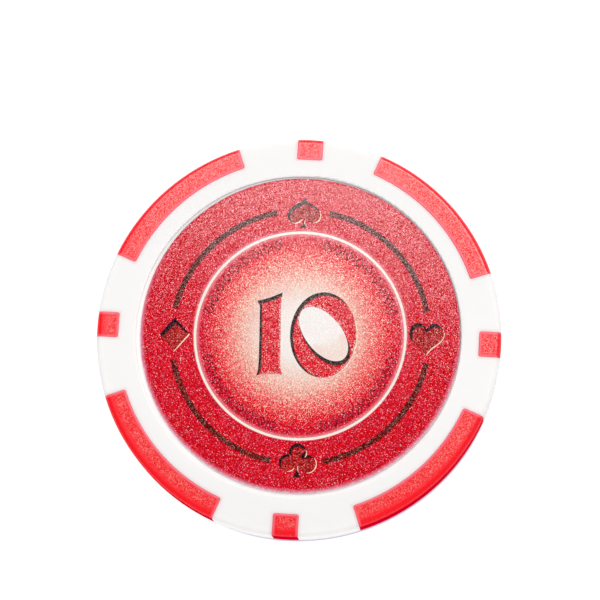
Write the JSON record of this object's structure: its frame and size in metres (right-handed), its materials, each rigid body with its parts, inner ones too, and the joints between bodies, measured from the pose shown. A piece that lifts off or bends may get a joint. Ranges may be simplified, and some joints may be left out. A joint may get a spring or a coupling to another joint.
{
  "type": "poker chip ball marker",
  "caption": "Flat round casino-style chip used as a golf ball marker: white moulded disc with red edge spots, a steel weight inside and a sunk printed label on each face.",
  "frame": {"origin": "centre of the bottom face, the flat face the chip rests on", "axes": "+Z along the chip's axis towards the front label; one short edge spot is centred on +X and the next on +Y"},
  "size_m": [0.04, 0.04, 0.0033],
  "materials": {
    "weight_steel": "pressed zinc-plated steel, hidden inside",
    "red_plastic": "moulded, satin, fine spark-eroded grain on the faces and smoother on the rim",
    "white_plastic": "moulded, satin",
    "label_adhesive": "pressure-sensitive adhesive layer, hidden",
    "label_print": "printed film, deep red with a pale glowing centre",
    "label_laminate": "clear laminate with a fine sparkling grain, seen in the colour of the print below it"
  },
  "bodies": {
    "root": {"steel_weight_disc": "weight_steel", "red_spot_frame": "red_plastic", "white_chip_body": "white_plastic", "front_label_adhesive": "label_adhesive", "front_label_print_film": "label_print", "front_label_overlaminate": "label_laminate", "back_label_adhesive": "label_adhesive", "back_label_print_film": "label_print", "back_label_overlaminate": "label_laminate"}
  },
  "joints": []
}
